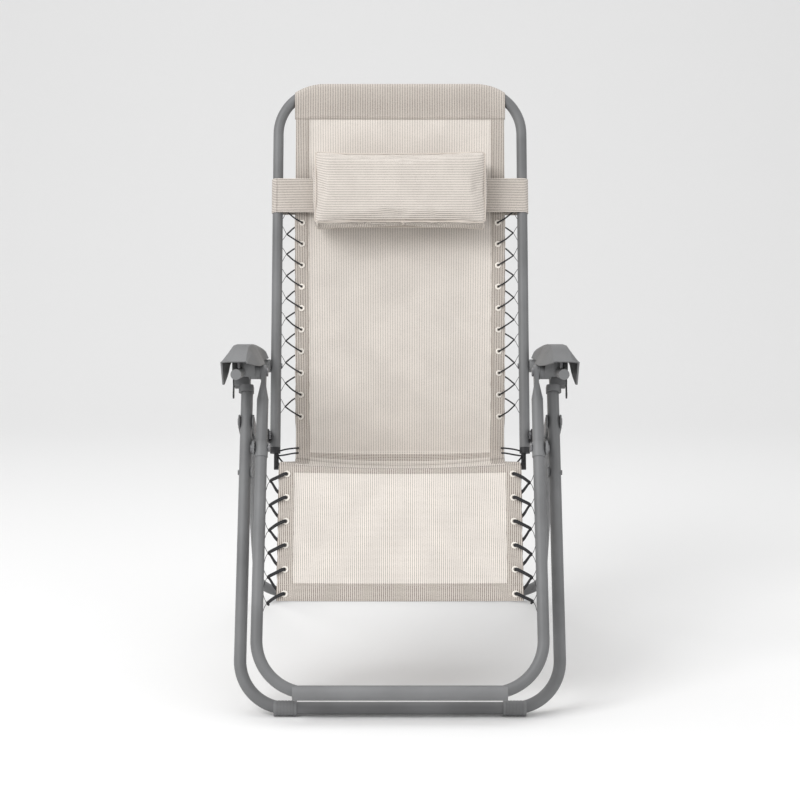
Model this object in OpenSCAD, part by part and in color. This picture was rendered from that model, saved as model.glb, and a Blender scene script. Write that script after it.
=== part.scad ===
// Zero gravity recliner: two U-shaped legs that cross under the seat, a back frame and a foot frame
// hung on a four-bar linkage of seat rails and armrests, and a laced mesh sling.
// Frame: X across the chair, Y from the front to the rear, Z up, floor at Z = 0.

/* [Legs] */
// Distance from the front floor bar to the rear floor bar, centre to centre
floor_base = 871; // [860:1:880]
// Half the width of the front leg frame, centre to centre of its tubes
front_leg_half = 281; // [281:1:281]
// Half the width of the rear leg frame at the floor
rear_leg_half = 313; // [308:1:316]
// Diameter of the leg tubes
leg_tube_d = 22; // [21:0.5:22]
// Lean of the front legs from the vertical
front_lean = 24.2; // [23:0.1:25]
// Radius of the bends of both leg frames, to the tube's centre
leg_bend = 84; // [70:1:95]
// Diameter of the ribbed foot sleeves
foot_d = 27; // [25:0.5:30]
// Distance from the chair's middle plane to a foot sleeve's inner end
foot_from = 180; // [160:1:190]
// Length of a foot sleeve
foot_len = 40; // [30:1:45]

/* [Linkage] */
// Height of the knee pivots above the floor
knee_z = 449.5; // [440:0.5:455]
// Distance of the knee pivots behind the front floor bar
knee_back = 150; // [145:1:155]
// Link from a knee pivot up to the arm pivot, towards the rear and up
link = [64, 130.5];
// Seat rail from the knee pivot to the hip pivot, towards the rear and up
seat_run = [293, -19];
// Distance along the armrest from its front pivot back to the leg cap that holds it
hold_back = 37; // [34:1:40]
// Height of the scissor pivot of the legs
scissor_z = 488.5; // [484:0.5:492]
// Diameter of the pivot bolts
bolt_d = 8; // [8:1:8]

/* [Back frame] */
// Half the width of the back frame, centre to centre of its tubes
back_half = 246; // [246:1:246]
// Diameter of the back tube
back_tube_d = 20.7; // [20:0.1:20.7]
// Lean of the back from the vertical
back_lean = 15.8; // [15:0.1:17]
// Height of the centre of the back's top bar
back_top_z = 1109.5; // [1080:1:1130]
// Radius of the back frame's bends, to the tube's centre
back_bend = 93; // [80:1:100]
// Height of the lower ends of the back tubes
back_end_z = 404; // [398:1:408]

/* [Foot frame] */
// Half the width of the foot frame, centre to centre of its tubes
foot_half = 249; // [249:1:249]
// Diameter of the foot frame's tube
foot_tube_d = 21; // [20:0.5:21]
// Distance from the knee pivots down to the centre of the foot bar
foot_drop = 441; // [420:1:445]
// Radius of the foot frame's bends, to the tube's centre
foot_bend = 93; // [80:1:100]
// Diameter of the swaged sockets at the knee
socket_d = 23.6; // [23:0.1:23.6]
// Diameter of the plain sleeve on the foot bar
foot_sleeve_d = 26; // [24:0.5:28]
// Length of the plain sleeve on the foot bar
foot_sleeve_len = 370; // [340:1:375]

/* [Sling] */
// Half the width of the sling along the back
sling_half = 213; // [208:1:215]
// Half the width of the sling along the legs
leg_sling_half = 217; // [212:1:219]
// Thickness of the doubled sling edge, used for the whole sheet
sling_t = 3; // [2:0.5:4]
// Number of eyelets along each side of the back
back_eyelets_n = 10; // [8:1:10]
// Number of eyelets along each side of the leg panel
leg_eyelets_n = 6; // [5:1:6]
// Distance between neighbouring eyelets
eyelet_pitch = 43.8; // [43:0.1:44.5]
// Outer diameter of an eyelet
eyelet_d = 12.6; // [11:0.2:13]

/* [Headrest] */
// Width of the headrest pillow
pillow_w = 350; // [320:1:370]
// Height of the headrest pillow along the back
pillow_h = 164; // [140:1:170]
// Thickness of the headrest pillow
pillow_t = 74; // [60:1:78]
// Height of the pillow's centre above the floor
pillow_z = 900; // [890:1:905]
// Height of the strap along the back
strap_h = 70; // [50:1:75]

/* [Hidden] */
$fn = 48;
hole_play = 0.05;
gap = 0.3;
plate_t = 2.4;
nut_r = 7;
bar_z = foot_d / 2;
foot_reach = foot_drop * link[0] / norm(link) + foot_sleeve_d / 2;
front_reach = (floor_base + knee_back + foot_d / 2 - foot_reach) / 2;
front_bar = [-front_reach, bar_z];
rear_bar = [floor_base - front_reach, bar_z];

// Side-plane points are [y, z] pairs.
function unit(v) = v / norm(v);
function angle_of(v) = atan2(v[1], v[0]);
function turn(v, a) = [v[0] * cos(a) - v[1] * sin(a), v[0] * sin(a) + v[1] * cos(a)];

knee = [knee_back - front_reach, knee_z];
hip = knee + seat_run;
arm_front = knee + link;
arm_rear = hip + link;
seat_dir = unit(seat_run);
arm_angle = angle_of(seat_run);
rail_hold = arm_front + hold_back * seat_dir;
mirrored_link = link - 2 * (link * seat_dir) * seat_dir;
mid_pivot = rail_hold - mirrored_link;
front_angle = 90 - front_lean;
front_dir = [cos(front_angle), sin(front_angle)];
scissor = front_bar + front_dir * (scissor_z - bar_z) / sin(front_angle);
front_leg_len = (rail_hold - front_bar) * front_dir - 33;
rear_dir = unit(mid_pivot - rear_bar);
rear_angle = angle_of(rear_dir);
rear_to_mid = norm(mid_pivot - rear_bar);
rear_splay = atan((rear_leg_half - 281.6) / rear_to_mid);
rear_leg_len = rear_to_mid + 35;
back_dir = [sin(back_lean), cos(back_lean)];
back_top = arm_rear + back_dir * (back_top_z - arm_rear[1]) / cos(back_lean);
back_len = (back_top_z - back_end_z) / cos(back_lean);
back_angle = -90 - back_lean;
foot_dir = -unit(link);
foot_angle = angle_of(link);
foot_bar = knee + foot_dir * foot_drop;
link_len = norm(link);
rail_x = 290;
rail_d = 19;
bolt_r = bolt_d / 2;
seat_rail_x = [261.2, 265.8];
hip_to_back = (hip - arm_rear) * back_dir;

steel = "#6b6c6d";
plastic = "#747576";
black = "#1d1d1f";
mesh = "#d2cac1";

// ---- shared shapes ----

// Places a drawing of the X-Y plane in the chair: its +Y runs along the given angle of the side plane.
module in_plane(at, angle) {
    translate([0, at[0], at[1]]) rotate([angle, 0, 0]) children();
}

// Draws on the right side (+X) as it stands, or mirrored on the left.
module on_side(side) {
    mirror([side < 0 ? 1 : 0, 0, 0]) children();
}

module both_sides() {
    for (side = [-1, 1]) on_side(side) children();
}

// A tube bent to a U: the bar lies along X at the origin and the arms run along +Y.
module u_tube(half, length, bend, d, splay = 0) {
    bar_half = half - bend * cos(splay) - bend * (1 + sin(splay)) * tan(splay);
    rise = bend * (1 + sin(splay));
    translate([-bar_half, 0, 0]) rotate([0, 90, 0]) cylinder(d = d, h = 2 * bar_half);
    both_sides() {
        translate([bar_half, bend, 0]) rotate([0, 0, -90])
            rotate_extrude(angle = 90 + splay) translate([bend, 0]) circle(d = d);
        translate([bar_half + bend * cos(splay), rise, 0]) rotate([-90, 0, splay])
            translate([0, 0, splay > 0 ? -0.3 : 0])
                cylinder(d = d + (splay > 0 ? 0.02 : 0), h = (length - rise) / cos(splay));
    }
}

// A round bar along X from x0 to x1 at a point of the side plane.
module cross_pin(at, x0, x1, r) {
    translate([x0, at[0], at[1]]) rotate([0, 90, 0]) cylinder(r = r, h = x1 - x0);
}

// A hole for a pivot bolt.
module bolt_hole(at, x0, x1) {
    cross_pin(at, x0, x1, bolt_r + hole_play);
}

// A flat link with round ends between two points of the side plane, from x0 to x1.
module link_plate(from, to, x0, x1, r) {
    cross_pin(from, x0, x1, r);
    cross_pin(to, x0, x1, r);
    in_plane(from, angle_of(to - from)) translate([x0, 0, -r + 0.2])
        cube([x1 - x0, norm(to - from), 2 * r - 0.4]);
}

// A bolt along X with a head at x0 and a nut that ends at x1.
module pivot_bolt(at, x0, x1, head, nut) {
    cross_pin(at, x0, x0 + head, nut_r + 1);
    cross_pin(at, x0, x1, bolt_r);
    cross_pin(at, x1 - nut, x1, nut_r);
}

// A cord of n sides swept through points; each ring stands square to the mean of its two runs.
module cord(points, d, n = 8) {
    last = len(points) - 1;
    rings = [for (i = [0 : last])
        let(a = points[max(i - 1, 0)], b = points[min(i + 1, last)],
            t = (b - a) / norm(b - a),
            side = cross(t, [0.31, 0.93, 0.2]), u = side / norm(side), v = cross(t, u))
        for (k = [0 : n - 1]) points[i] + d / 2 * (u * cos(360 * k / n) + v * sin(360 * k / n))];
    walls = [for (i = [0 : last - 1], k = [0 : n - 1])
        let(a = i * n + k, b = i * n + (k + 1) % n) each [[a, b, b + n], [a, b + n, a + n]]];
    start = [for (k = [n - 1 : -1 : 0]) k];
    end = [for (k = [0 : n - 1]) last * n + k];
    polyhedron(points = rings, faces = concat([start], walls, [end]), convexity = 10);
}

// ---- legs ----

function rib_profile(n) = [for (i = [0 : n - 1], p = [0 : 3])
    let(w = foot_len / n, groove = i < n - 1 ? 0.8 : 0)
    [[foot_d / 2, i * w], [foot_d / 2, (i + 0.75) * w],
     [foot_d / 2 - groove, (i + 0.75) * w], [foot_d / 2 - groove, (i + 1) * w]][p]];

module rear_leg_frame() {
    color(steel) difference() {
        in_plane(rear_bar, rear_angle)
            u_tube(rear_leg_half, rear_leg_len, leg_bend, leg_tube_d - 1, rear_splay);
        both_sides() bolt_hole(mid_pivot, 260, 300);
    }
}

module rear_foot(side) {
    color(plastic) on_side(side) difference() {
        translate([foot_from, rear_bar[0], rear_bar[1]]) rotate([0, 90, 0])
            rotate_extrude() polygon(concat([[0, 0]], rib_profile(7), [[0, foot_len]]));
        in_plane(rear_bar, rear_angle)
            u_tube(rear_leg_half, 200, leg_bend, leg_tube_d - 1, rear_splay);
    }
}

// Two ears and a top web that carry the rear leg on the front leg.
module leg_clevis(side) {
    ear = 13;
    inner = 269.4;
    outer = 292.6;
    color(steel) on_side(side) difference() {
        union() {
            link_plate(scissor, mid_pivot, inner - plate_t, inner, ear);
            link_plate(scissor, mid_pivot, outer, outer + plate_t, ear);
            in_plane(scissor, angle_of(mid_pivot - scissor))
                translate([inner - 1, 26, ear - plate_t]) cube([outer - inner + 2, 22, plate_t]);
        }
        bolt_hole(scissor, 260, 300);
        bolt_hole(mid_pivot, 260, 300);
    }
}

module scissor_bolts() {
    color("#55575a") both_sides() {
        cross_pin(scissor, 266.2, 267, nut_r + 1);
        cross_pin(scissor, 266.2, 296.4, bolt_r);
        cross_pin(scissor, 295, 296.4, nut_r - 0.5);
    }
}

module front_leg_frame() {
    color(steel) difference() {
        in_plane(front_bar, front_angle)
            u_tube(front_leg_half, front_leg_len, leg_bend, leg_tube_d);
        both_sides() bolt_hole(scissor, 260, 300);
    }
}

module front_foot(side) {
    color(plastic) on_side(side) difference() {
        translate([foot_from, front_bar[0], front_bar[1]]) rotate([0, 90, 0])
            rotate_extrude() polygon(concat([[0, 0]], rib_profile(7), [[0, foot_len]]));
        in_plane(front_bar, front_angle) u_tube(front_leg_half, 200, leg_bend, leg_tube_d);
    }
}

// Drawn with its origin at the armrest rail's centre, +Y up along the leg.
module leg_cap(side) {
    collar_r = 15.3;
    neck_x = 275.4;
    cheek_t = 4;
    cheek_r = 13;
    pad_r = 5.4;
    color(plastic) on_side(side) in_plane(rail_hold, front_angle) difference() {
        union() {
            translate([front_leg_half, -41, 0]) rotate([-90, 0, 0]) cylinder(r = collar_r, h = 12);
            translate([neck_x, -30, -12]) cube([304 - neck_x, 14.4, 24]);
            for (x = [neck_x, 300.2]) {
                translate([x, 0, 0]) rotate([0, 90, 0]) cylinder(r = cheek_r, h = cheek_t);
                translate([x, -18, -12]) cube([cheek_t, 18, 24]);
            }
            translate([neck_x, -15.6, -2.5]) rotate([0, 90, 0]) cylinder(r = pad_r, h = 28);
        }
        translate([front_leg_half, -60, 0]) rotate([-90, 0, 0]) cylinder(d = leg_tube_d, h = 27);
        translate([250, -50, -20]) cube([18.9, 30, 40]);
        translate([280, -19, 0]) rotate([0, 90, 0]) cylinder(r = 2.5, h = 40);
    }
}

// Spacer buttons that keep the foot frame off the front legs, each on its own rivet.
module leg_spacers() {
    at = front_bar + front_dir * 425;
    color(plastic) both_sides() {
        cross_pin(at, 267.4, 270.4, 10);
        cross_pin(at, 291.6, 294, 4.5);
    }
}

lever_pivot = rail_hold - 19 * front_dir;

module lever_pins() {
    color("#55575a") both_sides() cross_pin(lever_pivot, 280, 307.4, 2.45);
}

// A cam lever on the outer cheek of the leg cap, with a finger tab that hangs below it.
module lock_lever(side) {
    tab = lever_pivot + turn([0, -26], -20);
    color(black) on_side(side) difference() {
        union() {
            cross_pin(lever_pivot, 304.6, 307, 9);
            in_plane(lever_pivot, angle_of(tab - lever_pivot))
                translate([304.6, 0, -5]) cube([2.4, 26, 10]);
            cross_pin(tab, 304.6, 307, 7);
        }
        cross_pin(lever_pivot, 300, 310, 2.5);
    }
}

// ---- seat ----

module mid_bolts() {
    color("#55575a") both_sides() pivot_bolt(mid_pivot, 257.6, 296.8, 3.3, 1.5);
}

module seat_rail(side) {
    color(steel) on_side(side) difference() {
        link_plate(knee, hip, seat_rail_x[0], seat_rail_x[1], 13);
        for (at = [knee, hip, mid_pivot]) bolt_hole(at, 250, 275);
    }
}

module seat_sling() {
    front = knee + [43, -20];
    rear = hip + [-53, -27];
    half = sling_half - 3;
    color(mesh) in_plane(front, angle_of(rear - front))
        translate([-half, 0, -sling_t / 2]) cube([2 * half, norm(rear - front), sling_t]);
}

module hip_bolts() {
    color("#55575a") both_sides() {
        cross_pin(hip, 266.1, 268.4, nut_r + 1);
        cross_pin(hip, 253, 268.4, bolt_r);
        cross_pin(hip, 253, 256.6, nut_r);
    }
}

// ---- back ----
// The back is drawn in its own plane: +Y runs from the arm pivot up along the tubes.

module on_back() {
    in_plane(arm_rear, 90 - back_lean) children();
}

module back_frame() {
    color(steel) difference() {
        in_plane(back_top, back_angle) u_tube(back_half, back_len, back_bend, back_tube_d);
        both_sides() bolt_hole(arm_rear, 230, 260);
    }
}

// A side plate from the hip pivot to the back tube, with a plug in the tube's end and a hook below.
module hip_bracket(side) {
    low = (back_end_z - arm_rear[1]) / cos(back_lean);
    foot = arm_rear + back_dir * hip_to_back;
    color(black) on_side(side) difference() {
        union() {
            link_plate(hip, foot, 257, 260.6, 13);
            cross_pin(foot, 250, 258, 8);
            on_back() translate([246, low - 12, 0]) rotate([-90, 0, 0]) cylinder(r = 10.2, h = 12);
            on_back() translate([239, low - 44, -5]) cube([9, 36, 10]);
        }
        on_back() translate([back_half, low, 0]) rotate([-90, 0, 0])
            cylinder(d = back_tube_d, h = 80);
        bolt_hole(hip, 230, 270);
    }
}

back_sling_from = hip_to_back + 12;
back_sling_len = norm(back_top - arm_rear) - back_sling_from;
first_back_eyelet = hip_to_back + 41;
eyelet_x = 196.5;

module back_sling() {
    length = back_sling_len;
    color(mesh) on_back() difference() {
        union() {
            translate([-sling_half, back_sling_from, -sling_t / 2])
                cube([2 * sling_half, length - 11.4, sling_t]);
            translate([-150, back_sling_from + length, 0]) rotate([0, 90, 0])
                cylinder(d = back_tube_d + 4, h = 300);
        }
        translate([-160, back_sling_from + length, 0]) rotate([0, 90, 0])
            cylinder(d = back_tube_d, h = 320);
        eyelet_holes(eyelet_x, first_back_eyelet, back_eyelets_n);
    }
}

module eyelet_holes(x, from, n) {
    both_sides() for (i = [0 : n - 1])
        translate([x, from + i * eyelet_pitch, -10]) cylinder(d = 7, h = 20);
}

// Flanged rings through the sling: a wide face in front and behind, and a narrow neck between.
module eyelet_ring() {
    t = sling_t / 2;
    rotate_extrude() polygon([
        [2.6, -t - 0.8], [eyelet_d / 2, -t - 0.8], [eyelet_d / 2, -t], [3.5, -t],
        [3.5, t], [eyelet_d / 2, t], [eyelet_d / 2, t + 0.8], [2.6, t + 0.8]
    ]);
}

module back_eyelets() {
    color("white") on_back() both_sides() for (i = [0 : back_eyelets_n - 1])
        translate([eyelet_x, first_back_eyelet + i * eyelet_pitch, 0]) eyelet_ring();
}

// The bungee runs from each eyelet out to a hook point, and back behind the sling to the next one.
back_hook_x = 227;

module back_bungee(side) {
    front = 4;
    color(black) on_side(side) on_back() cord([for (i = [0 : back_eyelets_n - 1], p = [0 : 4])
        let(y = first_back_eyelet + i * eyelet_pitch, n = eyelet_pitch)
        [[eyelet_x, y, -front], [eyelet_x + 0.5, y + 1, front],
         [back_hook_x - 1, y + 0.42 * n, front - 1], [back_hook_x, y + 0.5 * n, 0],
         [back_hook_x - 1, y + 0.58 * n, -front]][p]], 2.6, 6);
}

// The thin cord zigzags between the bungee's hook points and small holes in the tube.
module back_cord(side) {
    tube_x = back_half - back_tube_d / 2 + 0.3;
    color("#3a3a3c") on_side(side) on_back() cord([for (i = [0 : back_eyelets_n - 1], p = [0 : 2])
        let(y = first_back_eyelet + (i + 0.5) * eyelet_pitch)
        [[back_hook_x + 1.5, y - 1, 0], [back_hook_x + 1.5, y + 1, 0],
         [tube_x, y + 0.35 * eyelet_pitch, 0]][p]], 1.2, 6);
}

// ---- foot frame ----
// It is drawn in its own plane: +Y runs from the knee pivot up along the link.

module on_foot() {
    in_plane(knee, foot_angle) children();
}

module knee_bolts() {
    color("#55575a") both_sides() {
        cross_pin(knee, 266.1, 268.4, nut_r + 1);
        cross_pin(knee, 233.4, 268.4, bolt_r);
        cross_pin(knee, 233.4, 236.8, nut_r);
    }
}

module upper_foot_tube(side) {
    socket_up = 11;
    socket_down = 17;
    plate_low = link_len - 24;
    round_up = link_len - 52;
    color(steel) on_side(side) difference() {
        union() {
            on_foot() {
                translate([foot_half, -socket_down, 0]) rotate([-90, 0, 0])
                    cylinder(d = socket_d, h = socket_up + socket_down);
                translate([foot_half, 0, 0]) rotate([-90, 0, 0]) cylinder(d = foot_tube_d, h = round_up);
                hull() {
                    translate([foot_half, round_up - 0.5, 0]) rotate([-90, 0, 0])
                        cylinder(d = foot_tube_d - 0.1, h = 0.5, $fn = 32);
                    translate([244.1, plate_low, -12.6]) cube([7.8, 1, 25.2]);
                }
                translate([244, plate_low, -12.8]) cube([8, 24, 25.6]);
            }
            cross_pin(arm_front, 244, 252, 13);
        }
        bolt_hole(arm_front, 240, 256);
        bolt_hole(knee, 230, 270);
        on_foot() translate([foot_half, -socket_down - 1, 0]) rotate([-90, 0, 0])
            cylinder(d = foot_tube_d, h = 13);
    }
}

module foot_frame() {
    color(steel) in_plane(foot_bar, foot_angle)
        u_tube(foot_half, foot_drop - 5, foot_bend, foot_tube_d);
}

module foot_bar_sleeve() {
    color(plastic) difference() {
        cross_pin(foot_bar, -foot_sleeve_len / 2, foot_sleeve_len / 2, foot_sleeve_d / 2);
        in_plane(foot_bar, foot_angle) u_tube(foot_half, 200, foot_bend, foot_tube_d);
    }
}

leg_sling_top = -40;
leg_sling_end = -280;
first_leg_eyelet = -48.6;
leg_eyelet_x = 202;
leg_hook_x = 232;

module leg_sling() {
    color(mesh) on_foot() difference() {
        translate([-leg_sling_half, leg_sling_end, -sling_t / 2])
            cube([2 * leg_sling_half, leg_sling_top - leg_sling_end, sling_t]);
        both_sides() for (i = [0 : leg_eyelets_n - 1])
            translate([leg_eyelet_x, first_leg_eyelet - i * eyelet_pitch, -10]) cylinder(d = 7, h = 20);
    }
}

module leg_eyelets() {
    color("white") on_foot() both_sides() for (i = [0 : leg_eyelets_n - 1])
        translate([leg_eyelet_x, first_leg_eyelet - i * eyelet_pitch, 0]) eyelet_ring();
}

// The doubled bungee falls from each eyelet to a hook point and returns behind the sling.
module leg_bungee(side) {
    front = 5;
    color(black) on_side(side) on_foot() cord([for (i = [0 : leg_eyelets_n - 1], p = [0 : 4])
        let(y = first_leg_eyelet - i * eyelet_pitch, n = eyelet_pitch)
        [[leg_eyelet_x, y, -front], [leg_eyelet_x + 0.5, y - 1, front],
         [leg_hook_x - 1, y - 0.28 * n, front - 1], [leg_hook_x, y - 0.36 * n, 0],
         [leg_hook_x - 2, y - 0.46 * n, -front]][p]], 4.6, 6);
}

module leg_cord(side) {
    tube_x = foot_half - foot_tube_d / 2 + 0.3;
    color("#3a3a3c") on_side(side) on_foot() cord([for (i = [0 : leg_eyelets_n - 1], p = [0 : 2])
        let(y = first_leg_eyelet - (i + 0.36) * eyelet_pitch)
        [[leg_hook_x + 2.2, y + 1, 0], [leg_hook_x + 2.2, y - 1, 0],
         [tube_x, y - eyelet_pitch / 2, 0]][p]], 1.2, 6);
}

// ---- armrests ----
// An armrest is drawn from the side: +Y runs back along it from its front pivot.

module on_arm() {
    in_plane(arm_front, arm_angle) children();
}

module arm_rear_bolts() {
    color("#55575a") both_sides() {
        cross_pin(arm_rear, 233.6, 235.3, nut_r - 2);
        cross_pin(arm_rear, 233.6, 279, bolt_r);
        cross_pin(arm_rear, 275.4, 279, nut_r);
    }
}

// Extrudes a side view of the armrest, [along, up] pairs, from x0 to x1.
module side_view(points, x0, x1) {
    translate([x0, 0, 0]) rotate([90, 0, 90]) linear_extrude(x1 - x0) polygon(points);
}

arm_nose = -112;
arm_tail = 324;

module armrest(side) {
    wall = 3;
    outer_side = [[arm_nose, 22], [arm_nose + 6, 29], [-76, 44], [-40, 49], [40, 49], [150, 44],
                  [260, 36], [arm_tail - 6, 31], [arm_tail, 26], [arm_tail, 14], [60, 14],
                  [40, 2], [0, -6], [-70, -20], [-92, -20]];
    inner_side = [[arm_nose - 1, 21], [arm_nose + 10, 25], [-74, 41], [-38, 45.5], [40, 45.5],
                  [150, 40.5], [260, 32.5], [arm_tail + 1, 27], [arm_tail + 1, -30], [arm_nose - 1, -30]];
    front_view = [[247, 14], [253, 24], [270, 50], [300, 50], [317, 24], [314, -24], [247, -24]];
    hollow_view = [[266, -30], [266, 30], [273, 42], [298, 42], [308.6, 24], [308.6, -30]];
    color(plastic) on_side(side) on_arm() difference() {
        intersection() {
            side_view(outer_side, 240, 325);
            translate([0, arm_tail + 10, 0]) rotate([90, 0, 0])
                linear_extrude(arm_tail - arm_nose + 20) polygon(front_view);
        }
        intersection() {
            side_view(inner_side, 250, 325);
            translate([0, arm_tail + 20, 0]) rotate([90, 0, 0])
                linear_extrude(arm_tail - arm_nose + 40) polygon(hollow_view);
        }
        side_view([[arm_nose - 1, -30], [arm_nose - 1, 13.6], [40, 13.6], [60, 14.5],
                   [arm_tail + 1, 14.5], [arm_tail + 1, -30]], 240, 266.1);
        side_view([[52, -30], [52, 60], [arm_tail + 1, 60], [arm_tail + 1, -30]], 240, 262);
        side_view([[arm_nose - 1, -30], [arm_nose - 1, 60], [-60, 60], [-36, 13], [-36, -30]], 240, 262);
    }
}

rail_from = -104;
rail_to = 84;

module arm_rail(side) {
    color(steel) on_side(side) on_arm() translate([rail_x, rail_from, 0]) rotate([-90, 0, 0])
        cylinder(d = rail_d, h = rail_to - rail_from);
}

// Screws with spacer posts that hang the rail from the armrest's roof.
module arm_screws() {
    color("#55575a") both_sides() on_arm() for (y = [-60, 60])
        translate([rail_x, y, rail_d / 2]) cylinder(r = 4, h = 35.4 - 0.05 * max(y, 0));
}

// The round boss beside the rail that takes the front pivot bolt, with a strut up to the armrest.
module arm_barrel(side) {
    color(plastic) on_side(side) difference() {
        union() {
            cross_pin(arm_front, 252.4, 275, 13);
            on_arm() translate([266.2, -8, 0]) cube([8.6, 16, 41]);
        }
        bolt_hole(arm_front, 250, 274);
    }
}

module arm_front_bolts() {
    color("#55575a") both_sides() {
        cross_pin(arm_front, 240.3, 243.7, nut_r + 1);
        cross_pin(arm_front, 240.3, 274, bolt_r);
    }
}

// The bracket between the armrest's tail and the back tube.
module arm_rear_bracket(side) {
    reach = norm(seat_run);
    color(black) on_side(side) difference() {
        union() {
            cross_pin(arm_rear, 257, 275, 13);
            on_arm() translate([266.2, reach - 10, 0]) cube([8.6, 20, 26]);
            on_arm() translate([266.2, reach - 60, 14.6]) cube([30, 70, 8]);
        }
        bolt_hole(arm_rear, 250, 280);
    }
}

// ---- headrest ----

module on_pillow() {
    in_plane(arm_rear + back_dir * (pillow_z - arm_rear[1]) / cos(back_lean), 90 - back_lean) children();
}

strap_half = back_half + back_tube_d / 2 + gap;
strap_d = back_tube_d + 2 * gap;

module headrest_strap() {
    color(mesh) on_pillow() translate([0, -strap_h / 2, 0]) rotate([-90, 0, 0])
        linear_extrude(strap_h) difference() {
            stadium(strap_half + 1.6, strap_d + 3.2);
            stadium(strap_half, strap_d);
        }
}

module stadium(half, d) {
    square([2 * half - d, d], center = true);
    for (side = [-1, 1]) translate([side * (half - d / 2), 0]) circle(d = d);
}

module headrest_pillow() {
    edge = 22;
    front = strap_d / 2 + 1.7;
    color(mesh) on_pillow() translate([0, 0, front]) hull()
        for (x = [-1, 1], y = [-1, 1], z = [edge, pillow_t - edge])
            translate([x * (pillow_w / 2 - edge), y * (pillow_h / 2 - edge), z]) sphere(r = edge, $fn = 24);
}

rear_leg_frame();
rear_foot(-1);  // rear_foot_left
rear_foot(1);  // rear_foot_right
leg_clevis(-1);  // leg_clevis_left
leg_clevis(1);  // leg_clevis_right
scissor_bolts();
front_leg_frame();
front_foot(-1);  // front_foot_left
front_foot(1);  // front_foot_right
leg_cap(-1);  // leg_cap_left
leg_cap(1);  // leg_cap_right
leg_spacers();
lever_pins();
lock_lever(-1);  // lock_lever_left
lock_lever(1);  // lock_lever_right
mid_bolts();
seat_rail(-1);  // seat_rail_left
seat_rail(1);  // seat_rail_right
seat_sling();
hip_bolts();
back_frame();
hip_bracket(-1);  // hip_bracket_left
hip_bracket(1);  // hip_bracket_right
back_sling();
back_eyelets();
back_bungee(-1);  // back_bungee_left
back_bungee(1);  // back_bungee_right
back_cord(-1);  // back_cord_left
back_cord(1);  // back_cord_right
knee_bolts();
upper_foot_tube(-1);  // upper_foot_tube_left
upper_foot_tube(1);  // upper_foot_tube_right
foot_frame();
foot_bar_sleeve();
leg_sling();
leg_eyelets();
leg_bungee(-1);  // leg_bungee_left
leg_bungee(1);  // leg_bungee_right
leg_cord(-1);  // leg_cord_left
leg_cord(1);  // leg_cord_right
arm_rear_bolts();
armrest(-1);  // armrest_left
armrest(1);  // armrest_right
arm_rail(-1);  // arm_rail_left
arm_rail(1);  // arm_rail_right
arm_barrel(-1);  // arm_barrel_left
arm_barrel(1);  // arm_barrel_right
arm_front_bolts();
arm_rear_bracket(-1);  // arm_rear_bracket_left
arm_rear_bracket(1);  // arm_rear_bracket_right
arm_screws();
headrest_pillow();
headrest_strap();
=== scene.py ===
"""Looks of the zero gravity recliner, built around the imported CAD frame. Metres; +Y runs to the back."""
import math

import bmesh
import bpy
import numpy as np
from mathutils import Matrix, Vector


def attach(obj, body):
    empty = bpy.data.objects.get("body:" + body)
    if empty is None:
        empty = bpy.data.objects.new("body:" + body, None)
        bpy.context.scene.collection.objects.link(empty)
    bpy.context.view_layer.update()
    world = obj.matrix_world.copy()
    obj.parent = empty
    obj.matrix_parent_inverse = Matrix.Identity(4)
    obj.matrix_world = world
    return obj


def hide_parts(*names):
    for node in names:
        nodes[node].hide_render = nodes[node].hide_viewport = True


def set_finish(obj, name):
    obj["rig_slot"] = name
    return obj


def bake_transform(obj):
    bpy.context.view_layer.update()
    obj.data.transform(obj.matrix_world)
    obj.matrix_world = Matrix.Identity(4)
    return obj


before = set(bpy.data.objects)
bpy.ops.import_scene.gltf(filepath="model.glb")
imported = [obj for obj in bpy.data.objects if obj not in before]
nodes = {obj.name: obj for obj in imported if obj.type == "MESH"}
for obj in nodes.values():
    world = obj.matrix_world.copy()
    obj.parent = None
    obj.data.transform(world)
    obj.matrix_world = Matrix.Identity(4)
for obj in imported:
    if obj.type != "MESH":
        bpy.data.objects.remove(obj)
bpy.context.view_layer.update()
MM = 0.001

# ---- camera ----
cam_data = bpy.data.cameras.new("camera")
cam_data.sensor_width = 36
cam_data.lens = 81
cam = bpy.data.objects.new("camera", cam_data)
cam.location = (0, -3.4637, 0.9295)
cam.rotation_euler = (math.radians(83), 0, 0)
bpy.context.scene.collection.objects.link(cam)
bpy.context.scene.camera = cam

# ---- the linkage, in millimetres, as [y, z] ----
SHIFT = 1.3406
KNEE = np.array([-265 + SHIFT, 449.5])
HIP = np.array([28 + SHIFT, 430.5])
ARM_FRONT = KNEE + (64, 130.5)
ARM_REAR = HIP + (64, 130.5)
BACK_LEAN = math.radians(15.8)
BACK_DIR = np.array([math.sin(BACK_LEAN), math.cos(BACK_LEAN)])
BACK_NORMAL = np.array([-math.cos(BACK_LEAN), math.sin(BACK_LEAN)])
FOOT_DIR = -np.array([64, 130.5]) / math.hypot(64, 130.5)
FOOT_NORMAL = np.array([FOOT_DIR[1], -FOOT_DIR[0]])
SEAT_DIR = np.array([293, -19]) / math.hypot(293, 19)
SEAT_UP = np.array([19, 293]) / math.hypot(293, 19)

def back_t(z):
    """Distance along the back from the arm pivot up to a height."""
    return (z - float(ARM_REAR[1])) / math.cos(BACK_LEAN)

TOP_T = back_t(1109.5)
HIP_T = float(np.dot(HIP - ARM_REAR, BACK_DIR))
BACK_HALF, BACK_BEND, BACK_TUBE = 246, 93, 20.7


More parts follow.
